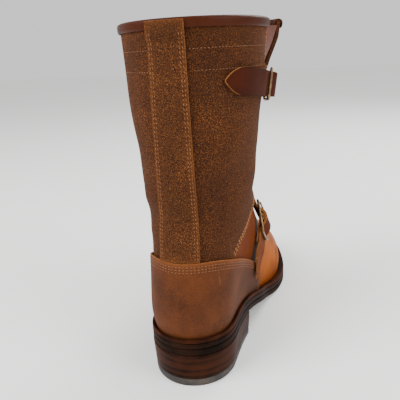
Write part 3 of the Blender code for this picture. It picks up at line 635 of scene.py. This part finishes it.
def rounded(piece, bevel):
    only(piece)
    if bevel:
        shave = piece.modifiers.new("shave", "BEVEL")
        shave.width = bevel
        shave.segments = 2
        shave.limit_method = "ANGLE"
        shave.angle_limit = SHARP
        bpy.ops.object.modifier_apply(modifier=shave.name)
    soften = piece.modifiers.new("smooth", "SUBSURF")
    soften.levels = SMOOTHING
    soften.render_levels = SMOOTHING
    bpy.ops.object.modifier_apply(modifier=soften.name)
    bpy.ops.object.shade_smooth_by_angle(angle=math.radians(50))


def points_of(piece):
    points = np.empty(len(piece.data.vertices) * 3)
    piece.data.vertices.foreach_get("co", points)
    return points.reshape(-1, 3)


def tree_of(piece, kinds):
    """A search tree of the piece's faces of these kinds."""
    faces = [f.vertices[:] for f in piece.data.polygons if f.material_index in kinds]
    return BVHTree.FromPolygons([v.co for v in piece.data.vertices], faces)


print("patches split at", round(math.degrees(SHARP)), "degrees")


# %% [markdown]
# The upper
# The lap of the shaft over the vamp is a step in the upper's wall, so the wall falls into
# three wide patches: the lining, the shaft and the vamp. The lining faces the inside, and
# the shaft is the higher of the other two. What is left are cut edges, and so are the faces
# that lie across the wall at the slit.

# %% Upper
LEG_Y = 0.035
FOOT_FRONT_Y = 0.2
FOOT_MIDDLE_Z = 0.045
FOOT_TOP_Z = 0.13
SHAFT_LEAST_Z = 0.11
SLIT_FOOT_Z = 0.245
SLIT_X = 0.03
MOST_OUTWARD = 0.62
MOST_UPWARD = 0.8
UPPER_BEVEL = 0.0003
UPPER_REACH = 0.004


def inside_point(place):
    """A place inside the boot near this one, in the leg at its own height or low in the foot."""
    height = place.z if place.z > FOOT_TOP_Z else FOOT_MIDDLE_Z
    return Vector((0.0, min(max(place.y, 0.0), FOOT_FRONT_Y), height))


def kind_of(group):
    """Whether a wide patch of the upper is the lining, the shaft or the vamp."""
    outwards = 0.0
    height = 0.0
    area = sum(item.calc_area() for item in group)
    for item in group:
        centre = item.calc_center_median()
        faces_out = item.normal.dot(centre - inside_point(centre)) > 0
        outwards += item.calc_area() * (1 if faces_out else -1)
        height += centre.z * item.calc_area() / area
    if outwards < 0:
        return BACK
    return FACE if height > SHAFT_LEAST_Z else VAMP


def across_wall(item):
    """Whether a face at the slit lies across the wall, where the leather is cut."""
    centre = item.calc_center_median()
    out = Vector((centre.x, centre.y - LEG_Y, 0)).normalized()
    if centre.z < SLIT_FOOT_Z or centre.x < SLIT_X:
        return False
    return abs(item.normal.dot(out)) < MOST_OUTWARD and abs(item.normal.z) < MOST_UPWARD


upper = copy_solid("upper", "upper_skin")
for finish in (brown_edge, shaft_finish, smooth["lining_leather"], smooth["oiled_vamp"]):
    upper.data.materials.append(finish)
mesh = bmesh.new()
mesh.from_mesh(upper.data)
for item in mesh.faces:
    item.material_index = RIM
for group in patches(mesh)[:3]:
    kind = kind_of(group)
    for item in group:
        if not across_wall(item):
            item.material_index = kind
mesh.to_mesh(upper.data)
mesh.free()
rounded(upper, UPPER_BEVEL)
leather_tree = tree_of(upper, (FACE, VAMP))
print("upper faces:", len(upper.data.polygons))


# %% [markdown]
# Pressing in the creases
# Every point near the leather finds the nearest place on the upper and moves along that
# place's normal, so the straps, the counter and the strip follow the same folds.

# %% Press
DEEP_CREASE = 0.0015


def press(piece):
    points = points_of(piece)
    near = [leather_tree.find_nearest(Vector(p)) for p in points]
    places = np.array([hit[0] for hit in near])
    normals = np.array([hit[1] for hit in near])
    depth = crease_depth(places)
    points -= normals * depth[:, None]
    piece.data.vertices.foreach_set("co", points.ravel())
    piece.data.update()
    # The crease depth is kept as a mark, and the vamp's finish paints shade into its creases from it.
    hollow = piece.data.attributes.new("hollow", "FLOAT", "POINT")
    hollow.data.foreach_set("value", np.clip(depth / DEEP_CREASE, 0, 1).astype(np.float32))


def mark_edges(piece, reach):
    """Writes how near each point is to a cut edge, 1 at the edge and nearly 0 past its reach."""
    edge_points = set()
    for f in piece.data.polygons:
        if f.material_index == RIM:
            edge_points.update(f.vertices)
    values = np.zeros(len(piece.data.vertices), np.float32)
    if edge_points:
        tree = kdtree.KDTree(len(edge_points))
        for i, k in enumerate(edge_points):
            tree.insert(piece.data.vertices[k].co, i)
        tree.balance()
        for vertex in piece.data.vertices:
            values[vertex.index] = math.exp(-tree.find(vertex.co)[2] / reach)
    mark = piece.data.attributes.new("edge", "FLOAT", "POINT")
    mark.data.foreach_set("value", values)


def hand_over(piece, node):
    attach(piece, "root")
    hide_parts(node)


def dress(node, face, back, rim, bevel, reach, pressed=True):
    """Makes the finished piece that stands for a solid."""
    piece = copy_solid(node, node + "_skin")
    slotted(piece, face, back, rim)
    rounded(piece, bevel)
    if pressed:
        press(piece)
    mark_edges(piece, reach)
    hand_over(piece, node)
    return piece


press(upper)
mark_edges(upper, UPPER_REACH)
hand_over(upper, "upper")
print("creased:", upper.name)


# %% [markdown]
# The pieces over the upper
# The counter and the strip are lined and have raw, pale edges. The straps show the brown
# flesh side under a smooth face. The binding and the wire of the buckles have no edge.

# %% Pieces over the upper
lining = smooth["lining_leather"]
binding_look = smooth["binding_leather"]
gusset_look = smooth["gusset_leather"]
LAID_ON = (
    # node, slot, face, back, rim, bevel, reach
    ("counter", "counter_leather", counter_finish, lining, pale_edge, 0.0005, 0.0022),
    ("back_strip", "strip_leather", strip_finish, lining, pale_edge, 0.0004, 0.0022),
    ("collar_binding", "binding_leather", binding_look, binding_look, binding_look, 0.0, 0.002),
    ("gusset", "gusset_leather", gusset_look, gusset_look, brown_edge, 0.0003, 0.002),
)
STRAP_PARTS = (
    # part, bevel
    ("_strap", 0.0004),
    ("_buckle_tab", 0.0003),
)
BUCKLE_PARTS = (
    # part, bevel
    ("_buckle", 0.0),
    ("_prong", 0.0003),
)
STRAP_REACH = 0.0012
WIRE_REACH = 0.001
dressed = {}
for node, slot, face, back, rim, bevel, reach in LAID_ON:
    dressed[node] = dress(node, face, back, rim, bevel, reach)
for place, look in (("top", smooth["strap_leather"]), ("instep", smooth["instep_leather"])):
    for part, bevel in STRAP_PARTS:
        dress(place + part, look, brown_edge, pale_edge, bevel, STRAP_REACH)
    for part, bevel in BUCKLE_PARTS:
        dress(place + part, metal_finish, metal_finish, metal_finish, bevel, WIRE_REACH)
print("dressed over the upper:", sorted(dressed))


# %% [markdown]
# The sole
# Its layers stay as stiff as they are, so no crease is pressed into them. Their edges are
# only shaved a little, and each layer keeps its own dressing.

# %% Sole
SOLE = (
    # node, slot, finish, bevel, reach
    ("welt", "welt_leather", welt_finish, 0.0004, 0.001),
    ("midsole", "edge_leather", midsole_finish, 0.0006, 0.001),
    ("outsole", "rubber", outsole_finish, 0.0006, 0.001),
    ("heel_stack", "stacked_leather", stack_finish, 0.0004, 0.002),
    ("heel_lift", "rubber", rubber_finish, 0.0005, 0.002),
    ("insole", "insole_leather", smooth["footbed_leather"], 0.0005, 0.002),
)
for node, slot, finish, bevel, reach in SOLE:
    dressed[node] = dress(node, finish, finish, finish, bevel, reach, pressed=False)
print("layers of the sole dressed:", len(SOLE))


# %% [markdown]
# Sewing
# Each row of stitches follows an edge of the leather at a set distance. The edge is read
# from the piece as a chain of points, stepped in across the surface, and a small thread
# loop is laid at each place, half sunk in the leather.

# %% Edge chains
def edge_chains(piece):
    """The chains of points where the piece's face ends."""
    mesh = piece.data
    sides = {}
    for f in mesh.polygons:
        for key in f.edge_keys:
            sides.setdefault(key, []).append(f.material_index)
    links = {}
    for (a, b), kinds in sides.items():
        if kinds.count(FACE) == 1 and len(kinds) == 2:
            links.setdefault(a, []).append(b)
            links.setdefault(b, []).append(a)
    chains = []
    while links:
        start = next((k for k, v in links.items() if len(v) == 1), next(iter(links)))
        chain = [start]
        while True:
            here = chain[-1]
            onward = links.get(here, [])
            if not onward:
                break
            after = onward.pop()
            links[after].remove(here)
            for k in (here, after):
                if not links.get(k):
                    links.pop(k, None)
            chain.append(after)
            if after == start:
                break
        links.pop(start, None)
        if len(chain) > 4:
            chains.append(np.array([mesh.vertices[k].co for k in chain]))
    return chains


TINY = 1e-12


def resampled(chain, pitch):
    steps = np.linalg.norm(np.diff(chain, axis=0), axis=1)
    s = np.concatenate([[0.0], np.cumsum(steps)])
    count = max(int(s[-1] / pitch), 2)
    even = np.linspace(0, s[-1], count)
    return np.stack([np.interp(even, s, chain[:, k]) for k in range(3)], -1)


bpy.ops.mesh.primitive_uv_sphere_add(segments=8, ring_count=5, radius=1.0)
stitch = bpy.context.active_object
stitch.name = "stitch_pattern"
stitch_points = points_of(stitch)
stitch_faces = [tuple(f.vertices) for f in stitch.data.polygons]
bpy.data.objects.remove(stitch)


def sew(name, places, normals, thread_finish, length, radius, slant=0.0):
    """One piece of many stitches, each drawn out along the row."""
    along = np.gradient(places, axis=0)
    along -= normals * np.sum(along * normals, axis=1)[:, None]
    along /= np.linalg.norm(along, axis=1, keepdims=True) + TINY
    across = np.cross(normals, along)
    turned = along * math.cos(slant) + across * math.sin(slant)
    sideways = np.cross(normals, turned)
    shape = stitch_points
    bow = 1 - shape[:, 0] ** 2
    points = (
        places[:, None]
        + turned[:, None] * (shape[:, 0] * length / 2)[None, :, None]
        + sideways[:, None] * (shape[:, 1] * radius)[None, :, None]
        + normals[:, None] * ((shape[:, 2] * 0.8 + 0.35 * bow) * radius)[None, :, None]
    ).reshape(-1, 3)
    faces = []
    for k in range(len(places)):
        faces += [tuple(i + k * len(shape) for i in face) for face in stitch_faces]
    data = bpy.data.meshes.new(name)
    data.from_pydata(points.tolist(), [], faces)
    data.shade_smooth()
    data.materials.append(thread_finish)
    piece = bpy.data.objects.new(name, data)
    bpy.context.scene.collection.objects.link(piece)
    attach(piece, "root")


def on_leather(tree, points):
    near = [tree.find_nearest(Vector(p)) for p in points]
    return np.array([hit[0] for hit in near]), np.array([hit[1] for hit in near])


def runs_of(chain, keep):
    """The kept parts of a chain, each a run of its own."""
    chosen = keep(chain)
    if chosen.all():
        return [chain]
    if np.allclose(chain[0], chain[-1]):
        chain = np.roll(chain[:-1], -int(np.argmin(chosen)), axis=0)
        chosen = keep(chain)
    cuts = np.flatnonzero(np.diff(chosen.astype(int))) + 1
    parts = zip(np.split(chain, cuts), np.split(chosen, cuts))
    return [run for run, kept in parts if kept[0] and len(run) > 3]


def stepped_in(tree, run, inset, pitch):
    """Even places along a run, moved this far inwards over the leather and smoothed."""
    even = resampled(run, pitch)
    spot, normal = on_leather(tree, even)
    along = np.gradient(even, axis=0)
    along /= np.linalg.norm(along, axis=1, keepdims=True) + TINY
    inward = np.cross(normal, along)
    left, right = (on_leather(tree, spot + side * inward * inset)[0] for side in (1, -1))
    to_left = np.linalg.norm(left - spot, axis=1).sum()
    to_right = np.linalg.norm(right - spot, axis=1).sum()
    row = left if to_left > to_right else right
    for k in range(3):
        row[1:-1, k] = np.convolve(row[:, k], np.ones(3) / 3, "valid")
    return on_leather(tree, row)


def sew_beside(name, piece, inset, keep, finish, pitch=0.0030, length=0.0021, radius=0.0003, slant=0.0):
    """Stitches at this distance inside the kept part of the edge of a piece's face."""
    tree = tree_of(piece, (FACE,))
    rows = []
    for chain in edge_chains(piece):
        rows += [stepped_in(tree, run, inset, pitch) for run in runs_of(chain, keep)]
    for k, (spot, normal) in enumerate(rows):
        row_name = f"{name}_{k}" if len(rows) > 1 else name
        sew(row_name, spot, normal, finish, length, radius, slant)
    print(name, "rows", len(rows), "stitches", sum(len(spot) for spot, _ in rows))


print("sewing helpers ready")


# %% [markdown]
# Rows of stitches
# Three close rows hold the top of the counter, two the strip on each side, two thick gold
# ones the lap of the shaft, one the slit's edges and one the welt. Each row is told where
# to stay, as a rule on its places.

# %% Rows of stitches
COUNTER_FRONT_Y = (-0.04, 0.02, 0.05, 0.07, 0.085)
COUNTER_FRONT_Z = (0.09, 0.08, 0.064, 0.045, 0.02)
STRIP_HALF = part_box("back_strip")[1].x


def on_counter_top(p):
    return p[:, 2] > np.interp(p[:, 1], COUNTER_FRONT_Y, COUNTER_FRONT_Z)


def on_strip_sides(p):
    return (np.abs(p[:, 0]) > STRIP_HALF - 0.0055) & (p[:, 2] > 0.114) & (p[:, 2] < 0.284)


def on_lap(p):
    return (p[:, 2] < 0.19) & (p[:, 1] > 0.004)


def on_slit(p):
    return (p[:, 2] > 0.24) & (p[:, 2] < 0.283) & (p[:, 0] > 0.03)


def anywhere(p):
    return np.ones(len(p), bool)


for k, inset in enumerate((0.0030, 0.0056, 0.0082)):
    sew_beside(
        f"counter_stitch_{k}", dressed["counter"], inset, on_counter_top, tan_thread,
        radius=0.00033, slant=0.25,
    )
for k, inset in enumerate((0.0022, 0.0048)):
    sew_beside(
        f"strip_stitch_{k}", dressed["back_strip"], inset, on_strip_sides, tan_thread,
        pitch=0.0032, slant=0.3,
    )
for k, inset in enumerate((0.0030, 0.0060)):
    sew_beside(
        f"lap_stitch_{k}", upper, inset, on_lap, gold_thread,
        pitch=0.0036, length=0.0027, radius=0.00042,
    )
sew_beside(
    "slit_stitch", upper, 0.0050, on_slit, gold_thread,
    radius=0.00036,
)
sew_beside(
    "welt_stitch", dressed["welt"], 0.0020, anywhere, tan_thread,
    pitch=0.0042, length=0.0032,
)


# %% [markdown]
# Collar rows
# Two level rows run round the shaft under the binding and hold its reinforcement. Each
# place is found by looking in at the leg from outside. Both stop at the strip and at the
# slit.

# %% Collar rows
COLLAR_DROPS = {"collar_stitch_high": 0.0215, "collar_stitch_low": 0.0365}
COLLAR_PITCH = 0.0027
COLLAR_RADIUS = 0.062
STRIP_SIDE, STRIP_FRONT_Y = 0.0145, 0.02
SLIT_SIDES_Y = (0.033, 0.075)
FAR_OUT = 0.2
LEAST_BREAK = 0.012


def under_strip(place):
    return abs(place.x) < STRIP_SIDE and place.y < STRIP_FRONT_Y


def in_slit(place):
    return place.x > SLIT_X and SLIT_SIDES_Y[0] < place.y < SLIT_SIDES_Y[1]


def collar_row(name, drop):
    tree = tree_of(upper, (FACE,))
    middle = Vector((0, LEG_Y, solid_box[1][2] - drop))
    places, normals = [], []
    for turn in np.arange(0, 2 * math.pi, COLLAR_PITCH / COLLAR_RADIUS):
        out = Vector((math.sin(turn), -math.cos(turn), 0))
        place, normal = tree.ray_cast(middle + out * FAR_OUT, -out)[:2]
        if place is not None and not under_strip(place) and not in_slit(place):
            places.append(place)
            normals.append(normal)
    places, normals = np.array(places), np.array(normals)
    steps = np.linalg.norm(np.diff(places, axis=0), axis=1)
    breaks = np.flatnonzero(steps > LEAST_BREAK) + 1
    for k, (spot, normal) in enumerate(zip(np.split(places, breaks), np.split(normals, breaks))):
        if len(spot) > 3:
            sew(f"{name}_{k}", spot, normal, tan_thread, 0.0017, 0.00028)
    print(name, len(places))


for name, drop in COLLAR_DROPS.items():
    collar_row(name, drop)


# %% [markdown]
# The sizes
# The dressed boot has to stay inside the solids' box but for the leather's own softness. The
# solids' box is printed.

# %% Sizes and the end
print("solid", [list(round(v, 4) for v in corner) for corner in solid_box])
